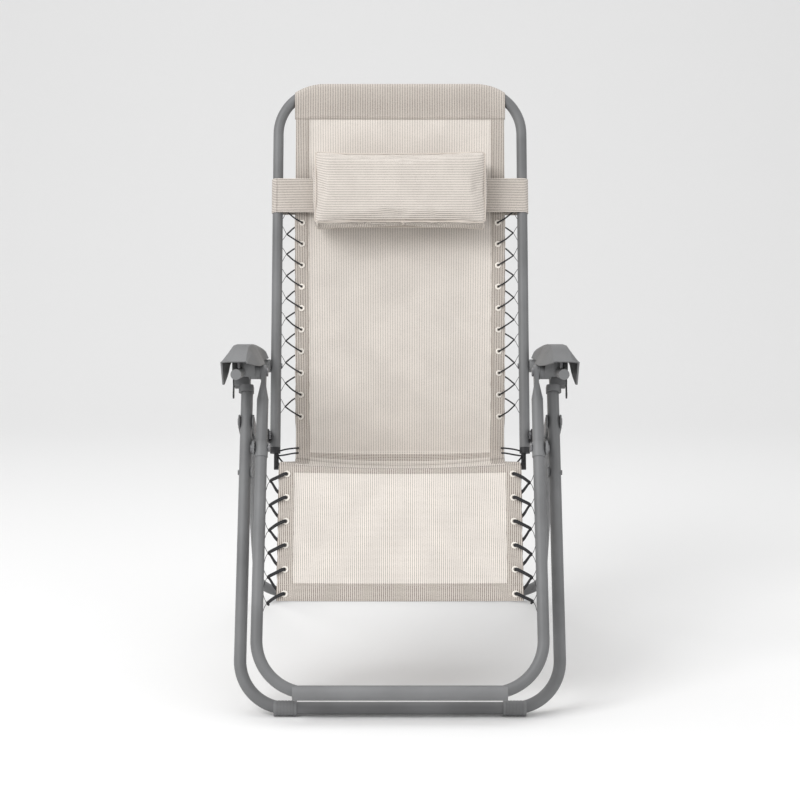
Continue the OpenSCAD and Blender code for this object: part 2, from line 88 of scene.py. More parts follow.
# ---- node helpers ----
class Nodes:
    """Builds one node material with short calls."""

    def __init__(self, name):
        self.mat = bpy.data.materials.new(name)
        self.mat.use_nodes = True
        self.tree = self.mat.node_tree
        self.tree.nodes.clear()
        self.bsdf = self.add("ShaderNodeBsdfPrincipled")
        out = self.add("ShaderNodeOutputMaterial")
        self.link(self.bsdf.outputs[0], out.inputs[0])

    def add(self, kind, **props):
        n = self.tree.nodes.new(kind)
        for k, v in props.items():
            setattr(n, k, v)
        return n

    def link(self, a, b):
        self.tree.links.new(a, b)

    def put(self, socket, value):
        if hasattr(value, "is_output"):
            self.link(value, socket)
        else:
            socket.default_value = value

    def math(self, op, a, b=0.0, c=0.0):
        n = self.add("ShaderNodeMath", operation=op)
        for i, v in enumerate((a, b, c)):
            self.put(n.inputs[i], v)
        return n.outputs[0]

    def span(self, value, lo, hi, out_lo=0.0, out_hi=1.0):
        n = self.add("ShaderNodeMapRange", interpolation_type="SMOOTHSTEP")
        for i, v in enumerate((value, lo, hi, out_lo, out_hi)):
            self.put(n.inputs[i], v)
        return n.outputs[0]

    def mix(self, factor, a, b):
        n = self.add("ShaderNodeMix", data_type="RGBA")
        self.put(n.inputs[0], factor)
        self.put(n.inputs[6], a)
        self.put(n.inputs[7], b)
        return n.outputs[2]

    def noise(self, vector, scale, detail=3.0, rough=0.5):
        n = self.add("ShaderNodeTexNoise")
        self.put(n.inputs["Vector"], vector)
        n.inputs["Scale"].default_value = scale
        n.inputs["Detail"].default_value = detail
        n.inputs["Roughness"].default_value = rough
        return n.outputs[0]

    def attribute(self, name):
        return self.add("ShaderNodeAttribute", attribute_name=name)

    def bump(self, height, distance, strength=1.0):
        n = self.add("ShaderNodeBump")
        n.inputs["Strength"].default_value = strength
        n.inputs["Distance"].default_value = distance
        self.put(n.inputs["Height"], height)
        self.link(n.outputs[0], self.bsdf.inputs["Normal"])

    def position(self):
        return self.add("ShaderNodeTexCoord").outputs["Object"]


def paint(name, color, rough, grain_scale, grain_depth, edge_lighten=0.0, spec=0.4):
    """Powder coat or moulded plastic: an even colour with cloudy variation and a fine grain."""
    m = Nodes(name)
    p = m.position()
    cloud = m.noise(p, 9.0, 4.0)
    dark = tuple(c * 0.86 for c in color) + (1,)
    light = tuple(min(1, c * 1.13) for c in color) + (1,)
    base = m.mix(m.span(cloud, 0.3, 0.7), dark, light)
    grain = m.noise(p, grain_scale, 2.0, 0.6)
    # Lighter on sharp convex edges, by the given amount
    if edge_lighten:
        geo = m.add("ShaderNodeNewGeometry")
        edge = m.span(geo.outputs["Pointiness"], 0.53, 0.62, 0.0, edge_lighten)
        base = m.mix(edge, base, tuple(min(1, c * 1.7) for c in color) + (1,))
    m.link(base, m.bsdf.inputs["Base Color"])
    m.put(m.bsdf.inputs["Roughness"], m.span(grain, 0.25, 0.75, rough - 0.07, rough + 0.07))
    m.bsdf.inputs["Specular IOR Level"].default_value = spec
    m.bump(grain, grain_depth)
    return m.mat


def metal(name, color, rough):
    m = Nodes(name)
    p = m.position()
    base = m.mix(m.noise(p, 60.0), tuple(c * 0.75 for c in color) + (1,), color + (1,))
    m.link(base, m.bsdf.inputs["Base Color"])
    m.bsdf.inputs["Metallic"].default_value = 0.9
    m.put(m.bsdf.inputs["Roughness"], m.span(m.noise(p, 300.0), 0.2, 0.8, rough - 0.08, rough + 0.1))
    m.bump(m.noise(p, 900.0), 0.00008)
    return m.mat


CREAM = (0.860, 0.805, 0.745)
TAUPE = (0.085, 0.052, 0.036)
STRIPE_PITCH = 0.0034
CROSS_PITCH = 0.0021


def weave(name, double_and_shade_from_attribute=True, base=0.0):
    """Woven vinyl mesh: brown pinstripes broken up by the cross yarns, stronger and the cream darker where
    it lies double; the same darkening paints shade on the sling's hip-fold and knee-crest bands.
    """
    m = Nodes(name)
    where = m.add("ShaderNodeSeparateXYZ")
    m.link(m.attribute("weave").outputs["Vector"], where.inputs[0])
    across, along = where.outputs[0], where.outputs[1]
    double_and_shade = m.attribute("double_and_shade").outputs["Fac"] if double_and_shade_from_attribute else base
    s = m.math("FRACT", m.math("DIVIDE", across, STRIPE_PITCH))
    c = m.math("FRACT", m.math("DIVIDE", along, CROSS_PITCH))
    stripe_dist = m.math("ABSOLUTE", m.math("SUBTRACT", s, 0.5))
    cross_dist = m.math("ABSOLUTE", m.math("SUBTRACT", c, 0.5))
    half_width = m.math("MULTIPLY_ADD", double_and_shade, 0.10, 0.16)
    edge = m.math("ADD", half_width, 0.08)
    stripe = m.span(stripe_dist, half_width, edge, 1.0, 0.0)
    yarn = m.span(cross_dist, 0.12, 0.4, 1.0, 0.35)
    strength = m.math("MULTIPLY_ADD", double_and_shade, 0.25, 0.75)
    mask = m.math("MULTIPLY", m.math("MULTIPLY", stripe, yarn), strength)
    uneven = m.noise(m.attribute("weave").outputs["Vector"], 420.0, 2.0)
    mask = m.math("MULTIPLY", mask, m.span(uneven, 0.2, 0.8, 0.75, 1.15))
    # Painted shade: the open pores between the yarns are darkened, standing in for the shade seen through
    # the weave
    pore_shade = m.math("MULTIPLY", m.span(stripe_dist, 0.34, 0.46), m.span(cross_dist, 0.3, 0.46))
    cloud = m.noise(m.attribute("weave").outputs["Vector"], 14.0, 3.0)
    cream = m.mix(m.span(cloud, 0.3, 0.7), tuple(v * 0.95 for v in CREAM) + (1,),
                  tuple(min(1, v * 1.03) for v in CREAM) + (1,))
    # Darker cream where the cloth is doubled, and painted shade where the sling's fold bands are flagged the
    # same way
    cream = m.mix(m.math("MULTIPLY", double_and_shade, 0.30), cream, (0.44, 0.39, 0.34, 1))
    color = m.mix(mask, cream, TAUPE + (1,))
    color = m.mix(m.math("MULTIPLY", pore_shade, 0.35), color, (0.34, 0.29, 0.25, 1))
    m.link(color, m.bsdf.inputs["Base Color"])
    m.bsdf.inputs["Roughness"].default_value = 0.62
    m.bsdf.inputs["Specular IOR Level"].default_value = 0.28
    m.bsdf.inputs["Sheen Weight"].default_value = 0.08
    ridge = m.math("COSINE", m.math("MULTIPLY", across, 3 * 2 * math.pi / STRIPE_PITCH))
    weft = m.math("COSINE", m.math("MULTIPLY", along, 2 * math.pi / CROSS_PITCH))
    m.bump(m.math("MULTIPLY_ADD", ridge, 0.5, weft), 0.00022, 0.8)
    return m.mat


def cord_cover(name, color):
    """Braided cover of an elastic cord, from a two-way spiral in the piece's own coordinates."""
    m = Nodes(name)
    where = m.add("ShaderNodeSeparateXYZ")
    m.link(m.attribute("weave").outputs["Vector"], where.inputs[0])
    turn, along = where.outputs[0], where.outputs[1]
    a = m.math("SINE", m.math("ADD", m.math("MULTIPLY", turn, 4.0), m.math("MULTIPLY", along, 2600.0)))
    b = m.math("SINE", m.math("SUBTRACT", m.math("MULTIPLY", turn, 4.0), m.math("MULTIPLY", along, 2600.0)))
    braid = m.math("MULTIPLY", a, b)
    # Painted highlight and shade: the braid's ridges are coloured lighter and its grooves darker, following
    # the same relief as the bump
    m.link(m.mix(m.span(braid, -0.6, 0.8), tuple(c * 0.5 for c in color) + (1,),
                 tuple(c * 1.6 for c in color) + (1,)), m.bsdf.inputs["Base Color"])
    m.bsdf.inputs["Roughness"].default_value = 0.6
    m.bump(braid, 0.00018)
    return m.mat


FRAME_GREY = (0.158, 0.160, 0.163)
MAT = {
    "frame": paint("powder_coat", FRAME_GREY, 0.50, 2600.0, 0.00005, 0.25, 0.45),
    "plastic": paint("grey_plastic", (0.172, 0.174, 0.177), 0.56, 3400.0, 0.00009, 0.2, 0.35),
    "foot": paint("foot_plastic", (0.185, 0.187, 0.190), 0.62, 2400.0, 0.0001, 0.2, 0.3),
    "black": paint("black_plastic", (0.024, 0.024, 0.026), 0.5, 2600.0, 0.00008, 0.3, 0.4),
    "bolt": metal("zinc_bolt", (0.26, 0.26, 0.27), 0.42),
    "eyelet": paint("cream_eyelet", (0.78, 0.74, 0.68), 0.32, 900.0, 0.00003, 0.0, 0.5),
    "mesh": weave("woven_mesh"),
    "pillow": weave("woven_mesh_pillow", False, 0.35),
    "strap": weave("woven_mesh_strap", False, 0.75),
    "piping": paint("seam_piping", (0.66, 0.60, 0.54), 0.7, 2200.0, 0.0002, 0.0, 0.2),
    "thread": paint("stitch_thread", (0.62, 0.57, 0.51), 0.7, 4000.0, 0.0001, 0.0, 0.2),
    "cord": cord_cover("braided_cord", (0.016, 0.016, 0.018)),
    "thin_cord": cord_cover("thin_cord", (0.05, 0.05, 0.052)),
}
SLOT = {"frame": "frame", "plastic": "grey_plastic", "foot": "grey_plastic", "black": "black_plastic",
        "bolt": "bolt", "eyelet": "eyelet", "mesh": "mesh", "pillow": "pillow", "strap": "mesh",
        "piping": "pillow", "thread": "mesh", "cord": "cord", "thin_cord": "cord"}


# ---- mesh helpers ----
def make(name, verts, faces, material, weave_at=None, double_and_shade=None, smooth=True):
    """A mesh object from millimetre points; weave_at holds each point's place on the cloth, in metres."""
    data = bpy.data.meshes.new(name)
    data.from_pydata([tuple(v) for v in np.asarray(verts, float) * MM], [], [tuple(f) for f in faces])
    data.update()
    if smooth:
        data.polygons.foreach_set("use_smooth", [True] * len(data.polygons))
    if weave_at is not None:
        a = data.attributes.new("weave", "FLOAT_VECTOR", "POINT")
        a.data.foreach_set("vector", np.asarray(weave_at, np.float32).reshape(-1))
    if double_and_shade is not None:
        a = data.attributes.new("double_and_shade", "FLOAT", "POINT")
        a.data.foreach_set("value", np.asarray(double_and_shade, np.float32))
    obj = bpy.data.objects.new(name, data)
    bpy.context.scene.collection.objects.link(obj)
    data.materials.append(MAT[material])
    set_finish(obj, SLOT[material])
    return obj


def fix_normals(obj):
    bm = bmesh.new()
    bm.from_mesh(obj.data)
    bmesh.ops.recalc_face_normals(bm, faces=bm.faces)
    bm.to_mesh(obj.data)
    bm.free()


def smooth_path(points, step=1.5, tension=0.5):
    """Catmull-Rom curve through points, sampled about every step mm."""
    p = [np.asarray(q, float) for q in points]
    p = [2 * p[0] - p[1]] + p + [2 * p[-1] - p[-2]]
    out = []
    for i in range(1, len(p) - 2):
        n = max(2, int(np.linalg.norm(p[i + 1] - p[i]) / step))
        for k in range(n):
            t = k / n
            m0, m1 = tension * (p[i + 1] - p[i - 1]), tension * (p[i + 2] - p[i])
            out.append((2 * t**3 - 3 * t**2 + 1) * p[i] + (t**3 - 2 * t**2 + t) * m0
                       + (3 * t**2 - 2 * t**3) * p[i + 1] + (t**3 - t**2) * m1)
    out.append(p[-2])
    return np.array(out)


def sweep(path, radius, sides=12, closed=False):
    """Points, faces and cord coordinates of a tube along a path; radius is one number or one per point."""
    path = np.asarray(path, float)
    n = len(path)
    radius = np.full(n, radius, float) if np.isscalar(radius) else np.asarray(radius, float)
    if closed:
        tangent = np.roll(path, -1, 0) - np.roll(path, 1, 0)
    else:
        tangent = np.gradient(path, axis=0)
    tangent /= np.linalg.norm(tangent, axis=1)[:, None]
    u = np.cross(tangent[0], (0.31, 0.93, 0.2))
    u /= np.linalg.norm(u)
    verts, where, run = [], [], 0.0
    for i in range(n):
        u = u - tangent[i] * np.dot(u, tangent[i])
        u /= np.linalg.norm(u)
        v = np.cross(tangent[i], u)
        run += np.linalg.norm(path[i] - path[i - 1]) if i else 0
        for k in range(sides):
            a = 2 * math.pi * k / sides
            verts.append(path[i] + radius[i] * (math.cos(a) * u + math.sin(a) * v))
            where.append((a, run * MM, 0))
    rings = n if closed else n - 1
    faces = [(i * sides + k, i * sides + (k + 1) % sides, (i + 1) % n * sides + (k + 1) % sides,
              (i + 1) % n * sides + k) for i in range(rings) for k in range(sides)]
    if not closed:
        faces += [tuple(range(sides))[::-1], tuple(range((n - 1) * sides, n * sides))]
    return verts, faces, where


class Parts:
    """Collects several shapes into one mesh."""

    def __init__(self):
        self.v, self.f, self.w = [], [], []

    def add(self, shape):
        v, f, w = shape
        base = len(self.v)
        self.v += [tuple(p) for p in v]
        self.f += [tuple(base + i for i in q) for q in f]
        self.w += list(w)

    def done(self, name, material, smooth=True):
        obj = make(name, self.v, self.f, material, self.w, smooth=smooth)
        fix_normals(obj)
        return obj


def lathe(profile, origin, axis, sides=32):
    """A turned shape: profile is [radius, height] pairs along axis from origin."""
    axis = np.asarray(axis, float) / np.linalg.norm(axis)
    u = np.cross(axis, (0.2, 0.5, 0.84))
    u /= np.linalg.norm(u)
    v = np.cross(axis, u)
    verts, n = [], len(profile)
    for r, h in profile:
        for k in range(sides):
            a = 2 * math.pi * k / sides
            verts.append(np.asarray(origin, float) + axis * h + r * (math.cos(a) * u + math.sin(a) * v))
    closed = profile[0][0] > 0
    faces = [(i * sides + k, i * sides + (k + 1) % sides, (i + 1) % n * sides + (k + 1) % sides,
              (i + 1) % n * sides + k) for i in range(n if closed else n - 1) for k in range(sides)]
    return verts, faces, [(0, 0, 0)] * len(verts)


# ---- the sling ----
def fillet_path(corners, radii, step=3.0):
    """A polyline in the side plane with round corners, as dense points."""
    pts = [np.asarray(corners[0], float)]
    for i in range(1, len(corners) - 1):
        a, b, c = (np.asarray(p, float) for p in corners[i - 1:i + 2])
        d0, d1 = (b - a) / np.linalg.norm(b - a), (c - b) / np.linalg.norm(c - b)
        turn = math.acos(np.clip(np.dot(d0, d1), -1, 1))
        reach = radii[i - 1] * math.tan(turn / 2)
        start, end = b - d0 * reach, b + d1 * reach
        n = max(3, int(radii[i - 1] * turn / 2.0))
        side = np.sign(d0[0] * d1[1] - d0[1] * d1[0])
        normal = side * np.array([-d0[1], d0[0]])
        centre = start + normal * radii[i - 1]
        for k in range(n + 1):
            a_ = side * turn * k / n
            rel = start - centre
            pts.append(centre + np.array([rel[0] * math.cos(a_) - rel[1] * math.sin(a_),
                                          rel[0] * math.sin(a_) + rel[1] * math.cos(a_)]))
    pts.append(np.asarray(corners[-1], float))
    dense = [pts[0]]
    for p in pts[1:]:
        gap = np.linalg.norm(p - dense[-1])
        n = max(1, int(round(gap / step)))
        start = dense[-1]
        dense += [start + (p - start) * k / n for k in range(1, n + 1)]
    return np.array(dense)


def on_back(t, out=0.0):
    return ARM_REAR + BACK_DIR * t + BACK_NORMAL * out


def on_foot(s, out=0.0):
    return KNEE + FOOT_DIR * s + FOOT_NORMAL * out


HEM_TOP_T = TOP_T - 62
LEG_END_S = 280
SEAT_BACK = on_back(back_t(378))
SEAT_FRONT = on_foot(27)
path = fillet_path([on_back(TOP_T - 14), SEAT_BACK, SEAT_FRONT, on_foot(LEG_END_S)], [26, 12])
run = np.concatenate([[0], np.cumsum(np.linalg.norm(np.diff(path, axis=0), axis=1))])
tangents = np.gradient(path, axis=0)
tangents /= np.linalg.norm(tangents, axis=1)[:, None]
# The cloth's front looks at the sitter: it is the tangent turned so that it faces forward on the back.
normals = np.stack([tangents[:, 1], -tangents[:, 0]], 1)
TOTAL = run[-1]


def nearest_run(point):
    return float(run[np.argmin(np.linalg.norm(path - np.asarray(point), axis=1))])


RUN_HIP = nearest_run(on_back(HIP_T + 4))
RUN_HIP_SPLIT = nearest_run(SEAT_BACK)
RUN_SEAT_MID = nearest_run((SEAT_BACK + SEAT_FRONT) / 2)
RUN_SEAT_FRONT = nearest_run(SEAT_BACK * 0.2 + SEAT_FRONT * 0.8)
RUN_KNEE_SPLIT = nearest_run(SEAT_FRONT)
RUN_LEG = nearest_run(on_foot(74))
RUN_BACK_BAND = nearest_run(on_back(back_t(396)))
RUN_CREST = RUN_KNEE_SPLIT - 4


def at_run(s):
    y, z = np.interp(s, run, path[:, 0]), np.interp(s, run, path[:, 1])
    ny, nz = np.interp(s, run, normals[:, 0]), np.interp(s, run, normals[:, 1])
    k = math.hypot(ny, nz)
    return y, z, ny / k, nz / k


SAG_RUN = [0, 60, 200, 420, RUN_HIP, RUN_HIP_SPLIT, RUN_SEAT_MID, RUN_SEAT_FRONT,
           RUN_KNEE_SPLIT, RUN_LEG, TOTAL - 90, TOTAL]
SAG_MM = [0, 3, 10, 15, 18, 20, 20, 15, 11, 8, 5, 3]
HALF_RUN = [0, 330, RUN_HIP, RUN_HIP_SPLIT, RUN_SEAT_MID, RUN_KNEE_SPLIT, TOTAL]
HALF_MM = [213, 211.5, 207, 207, 212, 217.5, 216.5]


def bowl(x):
    """Share of the cloth's sag at a place across it: 1 in the middle and 0 at its edges."""
    return max(0.0, 1 - (abs(x) / 214.0) ** 2)

def bow_at(s, x):
    """How far the cloth hangs behind the line of its edges."""
    return float(np.interp(s, SAG_RUN, SAG_MM)) * bowl(x)


def on_cloth(s, x, out=0.0):
    y, z, ny, nz = at_run(s)
    d = out - bow_at(s, x)
    return (x, y + ny * d, z + nz * d)

def laced(place, x, q, o):
    """A point near the cloth: it sinks with the cloth towards the middle."""
    return place(q, o - bow_at(nearest_run(place(q)), x))


SIDE_HEM = 28.0
FOOT_HEM = 32.0
THIN, THICK = 0.45, 0.95


def sling_columns():
    """Places across the cloth as (share of the inner width, distance in from the edge or None)."""
    edge = [0.0, 0.5, 2.0, 6.0, 12.0, 18.0, 24.0, SIDE_HEM - 0.5, SIDE_HEM + 0.3]
    inner = np.linspace(-1, 1, 33)[1:-1]
    return [(-1, d) for d in edge] + [(x, None) for x in inner] + [(1, d) for d in reversed(edge)]


EYELET_PITCH = 43.8
BACK_EYE_X, LEG_EYE_X = 196.5, 202
BACK_EYES = [HIP_T + 41 + EYELET_PITCH * i for i in range(10)]
LEG_EYES = [48.6 + EYELET_PITCH * i for i in range(6)]
EYELET_RUNS = [nearest_run(on_back(t)) for t in BACK_EYES] + [nearest_run(on_foot(s)) for s in LEG_EYES]


def sling_piece(name, lo, hi, foot_hem=False):
    rows = list(np.linspace(lo, hi, max(8, int((hi - lo) / 6.0)) + 1))
    marks = [TOTAL - FOOT_HEM - 0.3, TOTAL - FOOT_HEM + 0.5, TOTAL - 1.2, TOTAL - 0.4] if foot_hem else []
    marks += [RUN_BACK_BAND - 0.4, RUN_BACK_BAND + 0.4, RUN_HIP_SPLIT - 6.4, RUN_HIP_SPLIT - 5.6,
              RUN_CREST + 19.6, RUN_CREST + 20.4]
    rows = sorted(set(rows) | {q for q in marks if lo < q < hi})
    cols = sling_columns()
    front, back, where, double_and_shade = [], [], [], []
    for s in rows:
        y, z, ny, nz = at_run(s)
        half = float(np.interp(s, HALF_RUN, HALF_MM))
        near = min(abs(s - e) for e in EYELET_RUNS)
        half -= 1.4 * min(1.0, near / 22.0) ** 2
        for share, inset in cols:
            x = share * (half - inset) if inset is not None else share * (half - SIDE_HEM)
            bow = bow_at(s, x)
            # Painted shade: the hip-fold band and the knee-crest band are flagged like a doubled hem, so the
            # weave paints them darker with stronger stripes
            shade_band = RUN_BACK_BAND <= s <= RUN_HIP_SPLIT - 6 or RUN_CREST <= s <= RUN_CREST + 20
            hem_or_shade_band = (inset is not None and inset <= SIDE_HEM) or (foot_hem and s >= TOTAL - FOOT_HEM) or shade_band
            t = THICK if hem_or_shade_band else THIN
            if inset == 0 or (foot_hem and s >= TOTAL - 0.1):
                t *= 0.4
            front.append((x, y - ny * bow + ny * t, z - nz * bow + nz * t))
            back.append((x, y - ny * bow - ny * t, z - nz * bow - nz * t))
            where.append((x * MM, s * MM, 0))
            double_and_shade.append(1.0 if hem_or_shade_band else 0.0)
    nc, nr = len(cols), len(rows)
    n = nc * nr
    faces = []
    for i in range(nr - 1):
        for k in range(nc - 1):
            a, b, c, d = i * nc + k, i * nc + k + 1, (i + 1) * nc + k + 1, (i + 1) * nc + k
            faces += [(a, b, c, d), (n + d, n + c, n + b, n + a)]
        for k in (0, nc - 1):
            a, d = i * nc + k, (i + 1) * nc + k
            faces.append((a, d, n + d, n + a) if k == 0 else (d, a, n + a, n + d))
    for i in (0, nr - 1):
        for k in range(nc - 1):
            a, b = i * nc + k, i * nc + k + 1
            faces.append((b, a, n + a, n + b) if i == 0 else (a, b, n + b, n + a))
    obj = make(name, front + back, faces, "mesh", where + where, double_and_shade + double_and_shade)
    fix_normals(obj)
    area = 0.0
    for a, b in zip(rows[:-1], rows[1:]):
        area += (b - a) * 2 * float(np.interp((a + b) / 2, HALF_RUN, HALF_MM))
    return obj, area * MM * MM



def top_sleeve():
    """The hem that wraps the top bar: both layers hang from the bent tube and meet at the stitched line."""
    r = BACK_TUBE / 2 + 0.9
    cols = sling_columns()
    loops, where = [], []
    n_arc, n_leg = 14, 12
    for share, inset in cols:
        x = share * (213 - inset) if inset is not None else share * (213 - SIDE_HEM)
        over = max(0.0, abs(x) - (BACK_HALF - BACK_BEND))
        drop = BACK_BEND - math.sqrt(max(0.0, BACK_BEND**2 - over**2))
        top = TOP_T - drop
        tilt = math.sqrt(max(0.2, 1 - (over / BACK_BEND) ** 2))
        ry = r / tilt
        bow = 3.0 * bowl(x)
        seam_out = 0.9 - bow
        ring = []
        for k in range(n_leg):
            q = k / n_leg
            ease = q * q * (3 - 2 * q)
            t = HEM_TOP_T + (top - HEM_TOP_T) * q
            ring.append((t, seam_out + (r - seam_out) * ease))
        for k in range(n_arc + 1):
            a = math.pi * k / n_arc
            ring.append((top + ry * math.sin(a), r * math.cos(a)))
        for k in range(n_leg - 1, -1, -1):
            q = k / n_leg
            ease = q * q * (3 - 2 * q)
            t = HEM_TOP_T + (top - HEM_TOP_T) * q
            ring.append((t, -0.9 - bow + (-r + 0.9 + bow) * ease))
        loops.append((x, ring))
    verts, faces = [], []
    m = len(loops[0][1])
    for thick in (0.0, 0.8):
        for x, ring in loops:
            inner = np.array(ring)
            tangent = np.gradient(inner, axis=0)
            tangent /= np.linalg.norm(tangent, axis=1)[:, None]
            outward = np.stack([tangent[:, 1], -tangent[:, 0]], 1)
            if outward[n_leg + n_arc // 2][0] < 0:
                outward = -outward
            length = 0.0
            for k, (t, out) in enumerate(inner + outward * thick):
                y, z = on_back(t, out)
                verts.append((x, y, z))
                length += np.linalg.norm(inner[k] - inner[k - 1]) if k else 0
                where.append((x * MM, -length * MM, 0))
    nc = len(cols)
    n = nc * m
    for c in range(nc - 1):
        for k in range(m - 1):
            a, b, d, e = c * m + k, c * m + k + 1, (c + 1) * m + k + 1, (c + 1) * m + k
            faces += [(a, b, d, e), (n + e, n + d, n + b, n + a)]
        for k in (0, m - 1):
            a, b = c * m + k, (c + 1) * m + k
            faces.append((a, b, n + b, n + a))
    for c in (0, nc - 1):
        for k in range(m - 1):
            a, b = c * m + k, c * m + k + 1
            faces.append((a, b, n + b, n + a))
    obj = make("top_sleeve", verts, faces, "mesh", where, [0.9] * len(verts))
    fix_normals(obj)
    return obj


def stitch_line(name, points, normal, body, pitch=3.2, r=0.32):
    """A row of raised stitches along a polyline, in millimetres."""
    pts = np.asarray(points, float)
    lengths = np.concatenate([[0], np.cumsum(np.linalg.norm(np.diff(pts, axis=0), axis=1))])
    parts = Parts()
    for k in range(int(lengths[-1] / pitch)):
        a, b = (k + 0.12) * pitch, (k + 0.82) * pitch
        row = [np.array([np.interp(q, lengths, pts[:, i]) for i in range(3)]) for q in np.linspace(a, b, 4)]
        lift = [0, 0.35, 0.35, 0]
        row = [p + np.asarray(normal) * h for p, h in zip(row, lift)]
        parts.add(sweep(row, r, 5))
    obj = parts.done(name, "thread")
    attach(obj, body)
    return obj


sleeve = top_sleeve()
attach(sleeve, "back")
back_sheet, back_area = sling_piece("back_sheet", nearest_run(on_back(HEM_TOP_T + 4)), RUN_HIP_SPLIT)
seat_rear, seat_rear_area = sling_piece("seat_sheet_rear", RUN_HIP_SPLIT, RUN_SEAT_MID)
seat_front, seat_front_area = sling_piece("seat_sheet_front", RUN_SEAT_MID, RUN_KNEE_SPLIT)
leg_sheet, leg_area = sling_piece("leg_sheet", RUN_KNEE_SPLIT, TOTAL, True)
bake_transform(back_sheet)
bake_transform(seat_rear)
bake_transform(seat_front)
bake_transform(leg_sheet)
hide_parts("back_sling")
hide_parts("seat_sling")
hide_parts("leg_sling")


def hem_line(lo, hi, inset, side, step=8.0):
    pts = []
    for s in np.arange(lo, hi, step):
        half = float(np.interp(s, HALF_RUN, HALF_MM)) - inset
        pts.append(on_cloth(s, side * half, THICK + 0.1))
    return pts


for side, tag in ((-1, "left"), (1, "right")):
    back_line = hem_line(30, RUN_HIP - 14, SIDE_HEM - 3, side)
    leg_line = hem_line(RUN_LEG, TOTAL - 4, SIDE_HEM - 3, side)
    stitch_line("back_hem_stitch_" + tag, back_line, (0, *BACK_NORMAL), "back")
    stitch_line("leg_hem_stitch_" + tag, leg_line, (0, *FOOT_NORMAL), "footrest")
for k, inset in enumerate((3.0, FOOT_HEM - 3)):
    s = TOTAL - inset
    _, _, ny, nz = at_run(s)
    row = [on_cloth(s, x, THICK + 0.1) for x in np.linspace(-213, 213, 60)]
    stitch_line(f"foot_hem_stitch_{k}", row, (0, ny, nz), "footrest")
for k, t in enumerate((HEM_TOP_T + 1.5, HEM_TOP_T + 6)):
    row = []
    for x in np.linspace(-211, 211, 60):
        bow = 3.0 * bowl(x)
        q = (t - HEM_TOP_T) / (TOP_T - HEM_TOP_T)
        y, z = on_back(t, 2.0 - bow + q * q * 8)
        row.append((x, y, z))
    stitch_line(f"top_hem_stitch_{k}", row, (0, BACK_NORMAL[0], BACK_NORMAL[1]), "back")


# ---- eyelets ----
def eyelet(at, normal):
    return lathe([(2.7, -2.2), (5.4, -2.3), (6.2, -1.7), (6.3, -1.0), (3.6, -0.9), (3.6, 0.9), (6.3, 1.0),
                  (6.2, 1.7), (5.4, 2.4), (3.6, 2.6), (2.7, 1.9)], at, normal, 28)


back_rings, leg_rings = Parts(), Parts()
for side in (-1, 1):
    for t in BACK_EYES:
        back_rings.add(eyelet((side * BACK_EYE_X, *laced(on_back, BACK_EYE_X, t, 0.0)), (0, *BACK_NORMAL)))
    for s in LEG_EYES:
        leg_rings.add(eyelet((side * LEG_EYE_X, *laced(on_foot, LEG_EYE_X, s, 0.0)), (0, *FOOT_NORMAL)))
rings = back_rings.done("back_eyelet_rings", "eyelet")
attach(rings, "back")
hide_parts("back_eyelets")
rings = leg_rings.done("leg_eyelet_rings", "eyelet")
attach(rings, "footrest")
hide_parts("leg_eyelets")


# ---- lacing ----

# The bungee's strands at the hip hook: across, along the back from the tube's end, and out of its plane.
HIP_STRANDS = [
    [(244, -10, 5.6), (226, -5, 6.5), (208, -2, 3.0), (199, -1, -1.0)],
    [(244, -18, 5.6), (228, -16, 6.5), (209, -12, 3.0), (200, -11, -1.0)],
    [(244, -12, 6.8), (236, -24, 8.0), (226, -34, 7.0), (214, -37, 4.0)],
    [(245, -30, 5.6), (238, -36, 8.0), (228, -40, 7.0), (214, -41, 4.0)],
    [(240, -8, 5.6), (243, -20, 7.6), (239, -34, 6.6), (246, -40, 5.4)],
]

